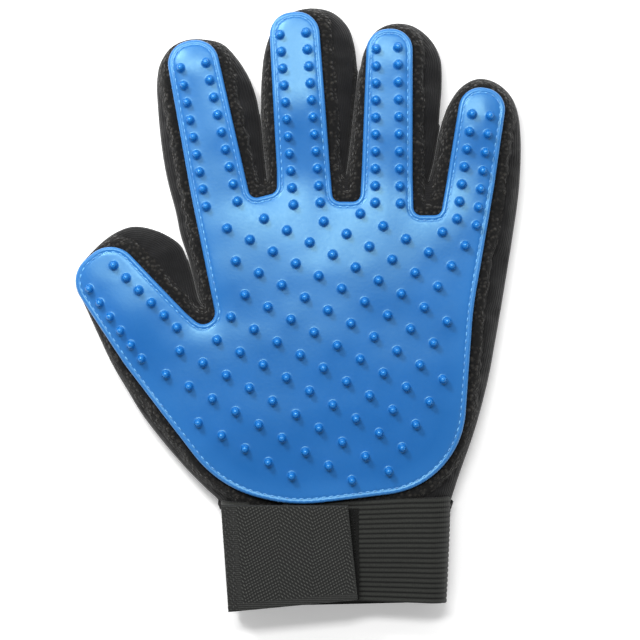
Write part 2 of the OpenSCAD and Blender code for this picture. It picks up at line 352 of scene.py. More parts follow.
def fabric_top(xy, ds, dp):
    """Height of the palm side: it rises from the rim to the pad, with a seam pulled in along the
    mesh's edge and soft folds outside the pad."""
    s = ds / np.maximum(ds + np.maximum(dp, 0), 1e-6)
    z = RIM_Z + (crown(xy, ds) - RIM_Z) * quarter(s)
    out = np.clip(dp, 0, None)
    puff = (0.7 * np.sin(np.pi * np.clip(out / MESH_W, 0, 1))
            - 0.7 * np.exp(-((out - MESH_W) / 0.6) ** 2))
    soft = 0.55 * noise(xy, 6.5, 0) + 0.3 * noise(xy, 3.1, 1)
    z += (puff + soft * smoothstep(0.5, 4, out)) * smoothstep(0, 2.5, ds)
    return z - smoothstep(-70, -77, xy[:, 1]) * 1.5


def fabric_bottom(xy, ds):
    """Height of the back of the hand, which lies on the table with slight creases."""
    z = RIM_Z * (1 - quarter(ds / 7.5))
    ripple = 0.35 + 0.3 * noise(xy, 11, 2) + 0.2 * noise(xy, 4.5, 3)
    z += np.clip(ripple, 0, 1) * smoothstep(1, 6, ds) * 0.8
    return z + smoothstep(-68, -77, xy[:, 1]) * 1.9


def hex_grid(lo, hi, h):
    """Points at the corners of equal triangles of side h."""
    rows = int((hi[1] - lo[1]) / (h * 0.866)) + 1
    cols = int((hi[0] - lo[0]) / h) + 1
    j, i = np.mgrid[0:rows, 0:cols]
    x = lo[0] + (i + 0.5 * (j % 2)) * h
    y = lo[1] + j * h * 0.866
    return np.column_stack([x.ravel(), y.ravel()])


class Plan:
    """Points and constraint edges for one triangulation in the plane."""

    LONGEST_EDGE = 3

    def __init__(self):
        self.points, self.edges = [], []

    def add(self, pts, closed=None):
        """Adds points, joined in a row unless closed is None. Nan points are left out."""
        pts = np.asarray(pts, float)
        good = ~np.isnan(pts[:, 0])
        index = np.where(good, sum(map(len, self.points)) + np.cumsum(good) - 1, -1)
        self.points.append(pts[good])
        if closed is not None:
            for k in range(len(pts) if closed else len(pts) - 1):
                after = (k + 1) % len(pts)
                a, b = index[k], index[after]
                if a >= 0 and b >= 0 and abs(pts[k] - pts[after]).max() < self.LONGEST_EDGE:
                    self.edges.append((int(a), int(b)))

    def triangulate(self, border):
        """Points and triangles, anticlockwise, inside the border."""
        pts = np.vstack(self.points)
        v, _, f, _, _, _ = delaunay_2d_cdt([tuple(p) for p in pts], self.edges, [], 0, 1e-5, False)
        v = np.array([tuple(p) for p in v])
        f = np.array([t for t in f if len(t) == 3])
        mid = v[f].mean(1)
        a, b, c = v[f[:, 0]], v[f[:, 1]], v[f[:, 2]]
        area = (b - a)[:, 0] * (c - a)[:, 1] - (b - a)[:, 1] * (c - a)[:, 0]
        f = np.where(area[:, None] > 0, f, f[:, ::-1])
        return v, f[inside(mid, border) & (abs(area) > 1e-7)]


def sides(t):
    """Directed edges of a triangle."""
    return (t[0], t[1]), (t[1], t[2]), (t[2], t[0])


# A place on every finger, this far past its flex line
ON_FINGER = 22


def finger_of_faces(mid, faces, judged):
    """Index of the finger that owns each face, or -1. A finger takes the faces joined to one that is
    well along it, as long as their judged point lies past its flex line."""
    owner = np.full(len(faces), -1)
    by_edge = {}
    for i, t in enumerate(faces.tolist()):
        for a, b in sides(t):
            by_edge.setdefault((a, b) if a < b else (b, a), []).append(i)
    near = [[] for _ in faces]
    for pair in by_edge.values():
        if len(pair) == 2:
            near[pair[0]].append(pair[1])
            near[pair[1]].append(pair[0])
    for k, finger in enumerate(FINGERS):
        past = along_across(finger, judged)[0] > 0
        seed = int(np.argmin(np.linalg.norm(mid - in_glove(finger, 0, ON_FINGER), axis=1)))
        stack = [seed]
        owner[seed] = k
        while stack:
            for j in near[stack.pop()]:
                if owner[j] < 0 and past[j]:
                    owner[j] = k
                    stack.append(j)
    return owner


def vertex_normals(v, faces):
    """Unit normals of the vertices, weighted by the triangles' areas."""
    n = np.zeros_like(v)
    c = np.cross(v[faces[:, 1]] - v[faces[:, 0]], v[faces[:, 2]] - v[faces[:, 0]])
    for k in range(3):
        np.add.at(n, faces[:, k], c)
    return unit(n)


# -------- meshes
def new_object(name, data):
    o = bpy.data.objects.new(name, data)
    bpy.context.scene.collection.objects.link(o)
    return o


def make_piece(name, v, faces, material, replaces, slot, body="hand", normals=None, floats=None):
    """A mesh object from millimetre vertices. body is the CAD body that the object is attached to,
    the palm going with the hand; a finger's or the closure's object is left where it is made,
    attached to nothing. normals holds one normal per face corner, and floats a value per vertex for
    each name."""
    me = bpy.data.meshes.new(name)
    me.from_pydata((np.asarray(v) * MM).tolist(), [], [list(map(int, f)) for f in faces])
    rest = me.attributes.new("rest", "FLOAT_VECTOR", "POINT")
    rest.data.foreach_set("vector", np.asarray(v, np.float32).ravel())
    for key, values in (floats or {}).items():
        values = np.asarray(values, np.float32)
        me.attributes.new(key, "FLOAT", "POINT").data.foreach_set("value", values)
    me.materials.append(material)
    me.validate()
    me.polygons.foreach_set("use_smooth", [True] * len(me.polygons))
    if normals is not None and len(normals) == len(me.loops):
        me.normals_split_custom_set(np.asarray(normals).tolist())
    me.update()
    o = new_object(name, me)
    if body in FINGERS:
        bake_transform(o)
    elif body == "closure":
        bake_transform(o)
    else:
        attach(o, "hand" if body == "palm" else body)
    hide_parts(*replaces)


def borders(faces):
    """Directed edges that only one face has."""
    e = np.vstack([faces[:, [0, 1]], faces[:, [1, 2]], faces[:, [2, 0]]])
    big = int(e.max()) + 1
    key, back = e[:, 0] * big + e[:, 1], e[:, 1] * big + e[:, 0]
    return e[~np.isin(key, back)]


def chosen_part(v, faces):
    """The vertices that some faces use, and the faces numbered by their place among them."""
    used = np.unique(faces)
    new = np.full(len(v), -1)
    new[used] = np.arange(len(used))
    return used, new[faces]


def panel(name, v, n, faces, material, floats, **kw):
    """A closed fabric panel: the chosen faces, the same faces moved inwards, and a rim."""
    used, f = chosen_part(v, faces)
    m = len(used)
    outer, normal = v[used], n[used]
    allv = np.vstack([outer, outer - normal * SKIN_T])
    rim = borders(f)
    quads = np.column_stack([rim[:, 1], rim[:, 0], rim[:, 0] + m, rim[:, 1] + m])
    q = allv[quads]
    flat = unit(np.cross(q[:, 1] - q[:, 0], q[:, 2] - q[:, 1]))
    loops = np.vstack([normal[f].reshape(-1, 3), -normal[f[:, ::-1]].reshape(-1, 3),
                       np.repeat(flat, 4, axis=0)])
    make_piece(name, allv, f.tolist() + (f[:, ::-1] + m).tolist() + quads.tolist(), material,
               normals=loops, floats={k: np.tile(a[used], 2) for k, a in floats.items()}, **kw)


def shell_faces(r, c):
    """Faces of a closed solid between two grids of r by c points, one listed after the other."""
    i = np.arange(r * c).reshape(r, c)
    m = r * c

    def quads(a):
        return np.stack([a[:-1, :-1], a[:-1, 1:], a[1:, 1:], a[1:, :-1]], -1).reshape(-1, 4)

    def strip(line):
        return np.stack([line[:-1], line[:-1] + m, line[1:] + m, line[1:]], -1)

    return np.vstack([quads(i), quads(i + m)[:, ::-1],
                      strip(i[0]), strip(i[-1][::-1]), strip(i[:, 0][::-1]), strip(i[:, -1])])


def grid_solid(name, outer, inner, material, **kw):
    """A closed solid between two grids of points, shape (rows, columns, 3)."""
    v = np.vstack([outer.reshape(-1, 3), inner.reshape(-1, 3)])
    make_piece(name, v, shell_faces(*outer.shape[:2]), material, **kw)


# -------- materials
def new_material(name, **values):
    """A material, its node tree and its shader, with plain values on the shader's own sockets."""
    m = bpy.data.materials.new(name)
    m.use_nodes = True
    shader = m.node_tree.nodes["Principled BSDF"]
    for socket, value in values.items():
        shader.inputs[socket.replace("_", " ")].default_value = value
    return m, m.node_tree, shader


def grey(value):
    return (value, value, value)


def node(t, kind, **values):
    n = t.nodes.new("ShaderNode" + kind)
    for k, v in values.items():
        setattr(n, k, v)
    return n


def feed(t, socket, x):
    """Gives an input socket a number, a colour or the output of another node."""
    if isinstance(x, (int, float)):
        socket.default_value = x
    elif isinstance(x, tuple):
        socket.default_value = (*x, 1)
    else:
        t.links.new(x, socket)


def attribute(t, name, output="Fac"):
    return node(t, "Attribute", attribute_name=name).outputs[output]


def maths(t, op, a, b=0.0, c=0.0, clamp=False):
    n = node(t, "Math", operation=op, use_clamp=clamp)
    for socket, x in zip(n.inputs, (a, b, c)):
        feed(t, socket, x)
    return n.outputs[0]


def scaled(t, x, by, plus):
    return maths(t, "MULTIPLY_ADD", x, by, plus)


def wave(t, x, pitch):
    return maths(t, "SINE", maths(t, "MULTIPLY", x, 2 * math.pi / pitch))


def ramp(t, fac, stops):
    n = node(t, "ValToRGB")
    while len(n.color_ramp.elements) < len(stops):
        n.color_ramp.elements.new(0.5)
    for e, (pos, col) in zip(n.color_ramp.elements, stops):
        e.position = pos
        e.color = (*col, 1)
    feed(t, n.inputs[0], fac)
    return n.outputs[0]


def mix(t, fac, a, b, blend_type="MIX"):
    n = node(t, "Mix", data_type="RGBA", blend_type=blend_type)
    for k, x in ((0, fac), (6, a), (7, b)):
        feed(t, n.inputs[k], x)
    return n.outputs[2]


def noise_tex(t, vector, scale, detail=2.0):
    n = node(t, "TexNoise")
    n.inputs["Scale"].default_value = scale
    n.inputs["Detail"].default_value = detail
    feed(t, n.inputs["Vector"], vector)
    return n.outputs["Fac"]


def cells(t, vector, scale, randomness=1.0):
    """Distance from the middle of each of many irregular cells."""
    n = node(t, "TexVoronoi", feature="F1")
    n.inputs["Scale"].default_value = scale
    n.inputs["Randomness"].default_value = randomness
    feed(t, n.inputs["Vector"], vector)
    return n.outputs["Distance"]


def split(t, vector):
    n = node(t, "SeparateXYZ")
    feed(t, n.inputs[0], vector)
    return n.outputs


def cover(t, shader, colour, height, depth, strength=1.0):
    """Colours the shader, and bumps it by a height that is depth millimetres at 1."""
    feed(t, shader.inputs["Base Color"], colour)
    n = node(t, "Bump")
    n.inputs["Strength"].default_value = strength
    n.inputs["Distance"].default_value = depth * MM
    feed(t, n.inputs["Height"], height)
    feed(t, shader.inputs["Normal"], n.outputs[0])


def rubber_material():
    """Glossy moulded rubber. The paler band towards its outline is a painted highlight where the
    rounded rim catches light. The nubs are smoother, and their deeper blue is painted too: it stands
    in for the broad sheen that the flat pad shows and the nubs lack.
    """
    m, t, s = new_material("blue_rubber", Specular_IOR_Level=0.75,
                           Specular_Tint=(0.56, 1.0, 0.93, 1))
    rest = attribute(t, "rest", "Vector")
    edge = attribute(t, "edge")
    nub = attribute(t, "nub")
    cloud = noise_tex(t, rest, 0.035)
    fine = noise_tex(t, rest, 0.9, 3.0)
    body = ramp(t, cloud, [(0.3, (0.005, 0.092, 0.322)), (0.7, (0.010, 0.112, 0.372))])
    # painted highlight: the pad turns paler within a few millimetres of its outline
    rim = ramp(t, maths(t, "DIVIDE", edge, 9.0, clamp=True),
               [(0.0, grey(1)), (0.1, grey(0.6)), (0.4, grey(0.25)), (1.0, grey(0))])
    # painted sheen contrast: the nubs get a deeper, more saturated blue than the flat pad
    colour = mix(t, nub, mix(t, rim, body, (0.030, 0.170, 0.480)), (0.003, 0.135, 0.470))
    rough = scaled(t, fine, 0.12, 0.30)
    feed(t, s.inputs["Roughness"], scaled(t, nub, -0.10, rough))
    cover(t, s, colour, fine, 0.05, 0.5)
    return m


def fabric_material(name, dark, light, kind):
    """Charcoal cloth: kind 'mesh' has raised knots, 'knit' has fine ribs, 'back' is a jersey. The
    colour follows that relief: raised yarn is painted lighter as highlight and the hollows darker as
    painted shade, times real fibre wear and a random mottle.
    """
    m, t, s = new_material(name, Roughness=0.88, Specular_IOR_Level=0.2, Sheen_Weight=0.12,
                           Sheen_Roughness=0.5)
    rest = attribute(t, "rest", "Vector")
    ds = attribute(t, "ds")
    fibre = noise_tex(t, rest, 2.6, 3.0)
    cloud = noise_tex(t, rest, 0.16)
    if kind == "mesh":
        cell = cells(t, rest, 0.62, 0.75)
        speck = ramp(t, noise_tex(t, rest, 0.55), [(0.38, grey(0.2)), (0.6, grey(1))])
        knot = ramp(t, cell, [(0.14, grey(1)), (0.55, grey(0))])
        height = maths(t, "MULTIPLY", knot, speck)
        depth = 0.7
    elif kind == "knit":
        wobble = scaled(t, noise_tex(t, rest, 0.5, 1.0), 0.6, ds)
        height = scaled(t, wave(t, wobble, 0.85), 0.22, 0.5)
        depth = 0.2
    else:
        x, y, _ = split(t, rest)
        loops = maths(t, "MULTIPLY", wave(t, x, 0.9), wave(t, y, 0.9))
        height = scaled(t, loops, 0.5, 0.5)
        depth = 0.15
    worn = scaled(t, fibre, 0.9, 0.45)
    # painted light and shade: the tone follows the height of the knots, ribs or loops, lighter on top
    # and darker in the hollows
    tone = maths(t, "MULTIPLY", height, worn, clamp=True)
    shade = ramp(t, cloud, [(0.3, grey(0.72)), (0.7, grey(1.15))])
    colour = mix(t, 1.0, mix(t, tone, dark, light), shade, "MULTIPLY")
    cover(t, s, colour, scaled(t, fibre, 0.25, height), depth)
    return m


def elastic_material():
    """Ribbed elastic: painted shade darkens its grooves to near black, leaving the crests of the ribs
    lighter, with crosswise cords on the ribs.
    """
    m, t, s = new_material("ribbed_elastic", Roughness=0.8, Specular_IOR_Level=0.25,
                           Sheen_Weight=0.1)
    rest = attribute(t, "rest", "Vector")
    rib = attribute(t, "rib")
    fibre = noise_tex(t, rest, 2.4, 3.0)
    cord = wave(t, split(t, rest)[0], 0.8)
    height = scaled(t, cord, 0.16, scaled(t, fibre, 0.5, rib))
    # painted shade: the colour falls to near black away from the crests of the ribs
    crest_light_groove_shade = maths(t, "POWER", rib, 2.2)
    tone = maths(t, "MULTIPLY", scaled(t, fibre, 1.3, 0.25), crest_light_groove_shade, clamp=True)
    cover(t, s, mix(t, tone, (0.0016, 0.0018, 0.0016), (0.026, 0.0275, 0.0245)), height, 0.18)
    return m


def tape_material():
    """Herringbone webbing: rows of picks whose lean turns every 13 mm, plain along the edges."""
    m, t, s = new_material("herringbone_tape", Roughness=0.72, Specular_IOR_Level=0.3,
                           Sheen_Weight=0.1)
    rest = attribute(t, "rest", "Vector")
    border = attribute(t, "border")
    x, y, _ = split(t, rest)
    fold = maths(t, "PINGPONG", maths(t, "ADD", x, 60.0), 13.0)
    lean = scaled(t, fold, 0.58, y)
    rows = wave(t, scaled(t, noise_tex(t, rest, 0.22), 1.1, lean), 1.36)
    picks = wave(t, scaled(t, y, 0.3, x), 1.12)
    dots = maths(t, "MULTIPLY", scaled(t, rows, 0.5, 0.5), scaled(t, picks, 0.42, 0.58))
    plain = scaled(t, wave(t, y, 0.75), 0.2, 0.35)
    pattern = node(t, "Mix", data_type="FLOAT")
    for k, source in ((0, border), (2, plain), (3, dots)):
        feed(t, pattern.inputs[k], source)
    pattern = pattern.outputs[0]
    fibre = noise_tex(t, rest, 2.2, 3.0)
    tone = maths(t, "MULTIPLY", pattern, scaled(t, fibre, 1.0, 0.5), clamp=True)
    colour = ramp(t, tone, [(0.0, (0.0038, 0.004, 0.0037)), (0.4, (0.014, 0.0148, 0.0135)),
                            (1.0, (0.075, 0.078, 0.071))])
    cover(t, s, colour, scaled(t, fibre, 0.3, pattern), 0.3)
    return m


def thread_material(name, colour):
    """Twisted thread, paler where its fibres stand out, and worn in places."""
    m, t, s = new_material(name, Roughness=0.55)
    rest = attribute(t, "rest", "Vector")
    fibre = noise_tex(t, rest, 5.0)
    worn = ramp(t, noise_tex(t, rest, 0.3), [(0.35, grey(0.1)), (0.65, grey(1))])
    pale = tuple(min(1.0, c * 2.6 + 0.01) for c in colour)
    cover(t, s, mix(t, maths(t, "MULTIPLY", fibre, worn), colour, pale), fibre, 0.06)
    return m


def pile_material(name, dark, light, size):
    """The fuzz of a hook or loop patch, or of a tape."""
    m, t, s = new_material(name, Roughness=0.9, Sheen_Weight=0.05, Specular_IOR_Level=0.15)
    rest = attribute(t, "rest", "Vector")
    cell = cells(t, rest, size)
    height = scaled(t, noise_tex(t, rest, 3.0, 4.0), 0.6, cell)
    colour = mix(t, maths(t, "MULTIPLY", height, 0.9, clamp=True), dark, light)
    cover(t, s, colour, height, 0.35)
    return m


RUBBER = rubber_material()
# for each cloth the first colour is its hollows' painted shade and the second its raised yarn's
# painted highlight; the mesh's pale brown is a painted highlight on its knots
MESH = fabric_material("air_mesh", grey(0.0028), (0.038, 0.0345, 0.029), "mesh")
KNIT = fabric_material("rib_knit", (0.0026, 0.0026, 0.0029), (0.0125, 0.0124, 0.0132), "knit")
BACK = fabric_material("back_jersey", (0.006, 0.006, 0.0065), (0.024, 0.024, 0.025), "back")
ELASTIC = elastic_material()
TAPE = tape_material()
THREAD = thread_material("pad_thread", (0.085, 0.250, 0.540))
DARK_THREAD = thread_material("black_thread", grey(0.012))
# painted shadow: the loop patch is near black, partly its own dark pile and partly the tab's shadow
# on the strip beside the tab
LOOPS_AND_TAB_SHADOW = pile_material("loop_pile", (0.0015, 0.0016, 0.0015), (0.008, 0.0085, 0.0078), 2.2)
HOOKS = pile_material("hook_tape", grey(0.012), grey(0.05), 1.2)
LINING = pile_material("seam_tape", grey(0.010), grey(0.035), 1.6)

# -------- fabric
GRID = 1.9
# The cloth simulation: spacing of its points, its frames, the furthest a point may move, its settings
CLOTH_GRID = 3.0
CLOTH_FRAMES = 18
CLOTH_CAP = 1.4
CLOTH = dict(quality=5, mass=0.3, tension_stiffness=15, compression_stiffness=15, shear_stiffness=5,
             bending_stiffness=0.02, shrink_min=-0.05, shrink_max=-0.05, use_pressure=True,
             uniform_pressure_force=4, vertex_group_mass="held")
# How far the side strips reach in under the hand
UNDER_W = 6
# How close a grid point may come to the points already laid, and to the outline
CLEAR = math.sqrt(0.7)
RIM_CLEAR = 1.3


def skin_plan():
    """Points of the fabric: its outline, the seams along which it is cut, and a grid between."""
    plan = Plan()
    plan.add(skin_line, True)
    for d in (0.15, 0.5, 1.05):
        plan.add(inward(skin_line, d), True)
    for d, closed in ((MESH_W, True), (MESH_W - 0.55, None), (MESH_W + 0.55, None)):
        contour = inward(pad_line, -d)
        contour[~well_inside(contour, skin_line, RIM_CLEAR)] = np.nan
        plan.add(contour, closed)
    under = inward(skin_line, UNDER_W)
    plan.add(under[:len(under) // 2 * 2:2], True)
    middle = 26
    for finger in FINGERS:
        # the run across this finger, with its ends drawn out to the fabric's edge
        line = np.array([in_glove(finger, x, 0) for x in range(-middle, middle + 1)])
        ok = well_inside(line, skin_line, 0.3)
        first = last = middle
        while first > 0 and ok[first - 1]:
            first -= 1
        while last + 1 < len(line) and ok[last + 1]:
            last += 1
        line = line[first:last + 1]
        ends = [skin_line[np.argmin(np.linalg.norm(skin_line - e, axis=1))] for e in line[[0, -1]]]
        plan.add(np.vstack([ends[0], line, ends[1]]), False)
    grid = hex_grid(skin_line.min(0), skin_line.max(0), GRID)
    grid = grid[well_inside(grid, skin_line, GRID)]
    plan.add(grid[to_nearest(grid, np.vstack(plan.points)) > CLEAR])
    return plan


xy, tri = skin_plan().triangulate(skin_line)
ds, dp = fields(xy)
count = len(xy)
top = np.column_stack([xy, fabric_top(xy, ds, dp)])
low = np.column_stack([xy, fabric_bottom(xy, ds)])
# The two sides share their points along the outline, except at the open wrist
shared = (ds == 0) & (xy[:, 1] >= WRIST_Y + 1e-3)
low_index = np.where(shared, 0, count) + np.arange(count)


def cloth_moves():
    """How a short cloth simulation moves a coarse copy of the fabric: its points in the plane, and
    their moves on the palm side and on the back. The fabric is cut slightly large, stuffed by
    pressure, and held under the rubber pad, at the wrist and where it rests."""
    outline = skin_line[::3]
    coarse = Plan()
    coarse.add(outline, True)
    middle = hex_grid(skin_line.min(0), skin_line.max(0), CLOTH_GRID)
    coarse.add(middle[well_inside(middle, skin_line, 1.6)])
    cxy, ctri = coarse.triangulate(outline)
    cds, cdp = fields(cxy)
    n = len(cxy)
    on_rim = to_polyline(cxy, outline, True) < 1e-3
    other = np.where(on_rim, np.arange(n), np.arange(n) + n)
    start = np.vstack([np.column_stack([cxy, fabric_top(cxy, cds, cdp)]),
                       np.column_stack([cxy, fabric_bottom(cxy, cds)])])
    me = bpy.data.meshes.new("cloth")
    me.from_pydata((start * MM).tolist(), [], np.vstack([ctri, other[ctri][:, ::-1]]).tolist())
    o = new_object("cloth", me)
    at_wrist = cxy[:, 1] < WRIST_Y + 3
    held = np.concatenate([(cdp < 0.8) | at_wrist, (cds > 5) | at_wrist])
    group = o.vertex_groups.new(name="held")
    group.add(np.flatnonzero(held).tolist(), 1.0, "REPLACE")
    modifier = o.modifiers.new("cloth", "CLOTH")
    for key, value in CLOTH.items():
        setattr(modifier.settings, key, value)
    modifier.settings.effector_weights.gravity = 0
    modifier.collision_settings.use_collision = False
    for frame_number in range(1, CLOTH_FRAMES + 1):
        bpy.context.scene.frame_set(frame_number)
    done = o.evaluated_get(bpy.context.evaluated_depsgraph_get())
    end = np.empty(len(done.data.vertices) * 3)
    done.data.vertices.foreach_get("co", end)
    end = end.reshape(-1, 3) / MM
    bpy.data.objects.remove(o)
    bpy.context.scene.frame_set(1)
    move = end - start
    size = np.linalg.norm(move, axis=1, keepdims=True)
    move *= np.minimum(1, CLOTH_CAP / np.maximum(size, 1e-9))
    return cxy, move[:n], np.where(on_rim[:, None], move[:n], move[n:])


def spread(points, values, at):
    """Values carried from scattered points to others, weighted towards the nearest four."""
    def blended(some):
        far = ((some[:, None] - points[None]) ** 2).sum(2)
        near = np.argpartition(far, 4, axis=1)[:, :4]
        weight = 1 / (np.take_along_axis(far, near, 1) + 0.3)
        return (values[near] * weight[..., None]).sum(1) / weight.sum(1, keepdims=True)

    return in_chunks(blended, at)


coarse_xy, up_move, down_move = cloth_moves()
past_wrist = smoothstep(WRIST_Y + 1, WRIST_Y + 5, xy[:, 1])
# the outline keeps its line from above, so the sideways part fades out towards it
share = np.column_stack([smoothstep(0, 6, ds)] * 2 + [np.ones(count)]) * past_wrist[:, None]
top = top + spread(coarse_xy, up_move, xy) * share * smoothstep(0.6, 2.5, dp)[:, None]
low = low + spread(coarse_xy, down_move, xy) * share
low[:, 2] = np.maximum(low[:, 2], 0.02)
skin_v = np.vstack([top, low])
low_tri = low_index[tri][:, ::-1]
skin_n = vertex_normals(skin_v, np.vstack([tri, low_tri]))
skin_floats = {"ds": np.tile(ds, 2), "dp": np.tile(dp, 2)}
mid = xy[tri].mean(1)
owner = finger_of_faces(mid, tri, mid)
is_mesh = dp[tri].mean(1) < MESH_W
is_side_low = ds[tri].mean(1) < UNDER_W
# The parts of the palm's side strip, split at these heights along the hand
WEB_Y = 36
CROTCH_Y = -20
PALM_SIDES = {
    "finger_webs": mid[:, 1] > WEB_Y,
    "gusset_little_side": (mid[:, 0] > 20) & (mid[:, 1] <= WEB_Y),
    "gusset_thumb_web": ((mid[:, 0] <= 20) & (mid[:, 1] <= WEB_Y) & (mid[:, 1] > CROTCH_Y)
                         & (along_across("thumb", mid)[1] > 0)),
}
PALM_SIDES["gusset_thumb_side"] = ~np.any(list(PALM_SIDES.values()), axis=0)


def fabric_pieces(name, chosen):
    """The mesh border, the side strips and the back of the palm or of one finger."""
    def skin(piece, faces, material, node_name, slot):
        panel(piece, skin_v, skin_n, faces, material, skin_floats,
              replaces=[node_name], slot=slot, body=name)

    skin("skin_mesh_" + name, tri[chosen & is_mesh], MESH, "mesh_" + name, "mesh_fabric")
    skin("skin_back_" + name, low_tri[chosen & ~is_side_low], BACK, "back_" + name, "back_fabric")
    strips = PALM_SIDES
    if name in FINGERS:
        strips = {"sidewall_" + name: np.ones(len(tri), bool)}
    for part, where in strips.items():
        faces = np.vstack([tri[chosen & ~is_mesh & where], low_tri[chosen & is_side_low & where]])
        piece = "skin_side_" + name if name in FINGERS else "skin_" + part
        skin(piece, faces, KNIT, part, "side_fabric")


for k, part_name in enumerate(PARTS):
    fabric_pieces(part_name, owner == k - 1)

# -------- rubber pad
# Columns of nubs up the fingers: both ends (x, y, x, y) and their number
NUB_COLUMNS = [
    (-46.1, 93, -36.3, 39.6, 9), (-36.2, 95, -24.2, 41.6, 9),
    (-7.7, 106, -2.5, 40.3, 11), (2.4, 106.8, 7.9, 41.2, 11),
    (29.5, 100.4, 29.1, 41.1, 10), (37.9, 101, 38.9, 40.8, 10),
    (66.5, 75.2, 60.7, 34.8, 7), (73.4, 74.5, 68.2, 32.3, 7),
    (-81.4, 7.7, -61.2, -19.3, 6), (-71.9, 16.8, -47.5, -7.2, 6),
]
# Radius and height of the rings that a nub is made of, the radius of its foot, points in a ring, and
# the least distance between nubs
NUB_PROFILE = [(1.95, 0.05), (1.7, 0.22), (1.55, 0.6), (1.46, 1.3), (1.38, 2.2), (1.28, 3.0),
               (1.12, 3.55), (0.85, 3.95), (0.48, 4.15)]
NUB_FOOT = 2.25
NUB_SIDES = 20
NUB_APART = 4.6


def nub_fits(p):
    """Whether the palm's pattern has a nub here: it stops short of the pad's sides and fingers."""
    x, y = p
    return (y < 39.2 - 0.2 * max(0, x - 20)
            and (y < -9 or x > -0.183 * y - 28.1)
            and x < 61 + 0.085 * y + (0.1 * (y - 4) + 1.8 if y > 4 else 0)
            and 0.802 * x + 0.597 * y > -60.5
            and 0.492 * x + 0.87 * y > -60
            and 0.85 * x - 0.527 * y < 67
            and y > -69.5 + 0.14 * max(0, x)
            and (x > -31 or -0.643 * x + 0.766 * y < 19))


# The columns' nubs, then a slightly curved lattice of them over the palm
nubs = []
for x0, y0, x1, y1, n in NUB_COLUMNS:
    nubs += [(x0 + (x1 - x0) * k / (n - 1), y0 + (y1 - y0) * k / (n - 1)) for k in range(n)]
for i in range(-6, 7):
    for j in range(-6, 8):
        p = (5.5 + 8.9 * i + 5.33 * j - 0.02 * i * j,
             -9.05 - 5.03 * i + 8.6 * j - 0.066 * i * i + 0.02 * i * j - 0.078 * j * j)
        if nub_fits(p) and min(math.hypot(p[0] - a, p[1] - b) for a, b in nubs) > NUB_APART:
            nubs.append(p)
nubs = np.array(nubs)


# How far in from the pad's outline its stitched groove runs
GROOVE = 1.95


def pad_top(xy, ds, edge):
    """Height of the rubber's face, edge being the distance in from its outline."""
    rim_r = 0.85
    z = crown(xy, ds) + PAD_T - rim_r * (1 - quarter(edge / rim_r))
    ridge = 0.12 * np.exp(-((edge - 1.0) / 0.5) ** 2)
    return z + ridge - 0.3 * np.exp(-((edge - GROOVE) / 0.4) ** 2)


def pad_plan():
    """Points of the pad: its outline, lines along its rim, the nubs' feet and a grid between."""
    plan = Plan()
    plan.add(pad_line, True)
    for d in (0.12, 0.35, 0.7, 1.1, 1.55, GROOVE, 2.35, 2.9):
        ring = inward(pad_line, d)
        ring[to_nearest(ring, nubs) < NUB_FOOT + 0.35] = np.nan
        plan.add(ring, True)
    angles = np.linspace(0, 2 * np.pi, NUB_SIDES, endpoint=False)
    circle = np.column_stack([np.cos(angles), np.sin(angles)])
    for c in nubs:
        plan.add(c + circle * NUB_FOOT, True)
        plan.add([c])
    grid = hex_grid(pad_line.min(0), pad_line.max(0), 1.6)
    grid = grid[well_inside(grid, pad_line, 3.5)]
    plan.add(grid[to_nearest(grid, nubs) > NUB_FOOT + 0.7])
    return plan


def around(faces):
    """The points of a patch's border, in order."""
    loop = borders(faces)
    after = dict(loop.tolist())
    ring = [int(loop[0, 0])]
    while after[ring[-1]] != ring[0]:
        ring.append(after[ring[-1]])
    return np.array(ring)


pxy, ptri = pad_plan().triangulate(pad_line)
pds, pdp = fields(pxy)
edge = np.maximum(-pdp, 0)
edge[edge < 1e-4] = 0
ptop = np.column_stack([pxy, pad_top(pxy, pds, edge)])
plow = np.column_stack([pxy, crown(pxy, pds) + PAD_SEAT])
pcount = len(pxy)
# A nub's faces all go with the finger that its middle is on
pmid = pxy[ptri].mean(1)
gap = np.linalg.norm(pmid[:, None] - nubs[None], axis=2)
in_nub = np.where(gap.min(1) < NUB_FOOT * 0.985, gap.argmin(1), -1)
judged = np.where(in_nub[:, None] >= 0, nubs[in_nub], pmid)
powner = finger_of_faces(pmid, ptri, judged)

# Each nub rises in rings of points from its foot to a round top
pad_v, pad_nub, pad_edge = [ptop, plow], [0.0] * (2 * pcount), [*edge, *edge]
nub_faces, nub_owner = [], []
for k, c in enumerate(nubs):
    foot = around(ptri[in_nub == k])
    n = len(foot)
    away = unit(pxy[foot] - c)
    foot_z = ptop[foot, 2]
    base = float(foot_z.mean())
    last = foot
    for r, h in NUB_PROFILE:
        here = len(pad_nub) + np.arange(n)
        level = base + h + (foot_z - base) * max(0.0, 1 - h / 0.6)
        pad_v.append(np.column_stack([c + away * r, level]))
        pad_nub += [min(1.0, h / 0.5)] * n
        pad_edge += list(edge[foot])
        for a in range(n):
            b = (a + 1) % n
            nub_faces += [(last[a], last[b], here[b]), (last[a], here[b], here[a])]
        last = here
    nub_faces += [(last[a], last[(a + 1) % n], len(pad_nub)) for a in range(n)]
    nub_owner += [powner[in_nub == k][0]] * (n * (2 * len(NUB_PROFILE) + 1))
    pad_v.append(np.array([[c[0], c[1], base + NUB_H]]))
    pad_nub.append(1.0)
    pad_edge.append(float(edge[foot].mean()))
pad_v = np.vstack(pad_v)
pad_nub, pad_edge = np.array(pad_nub), np.array(pad_edge)

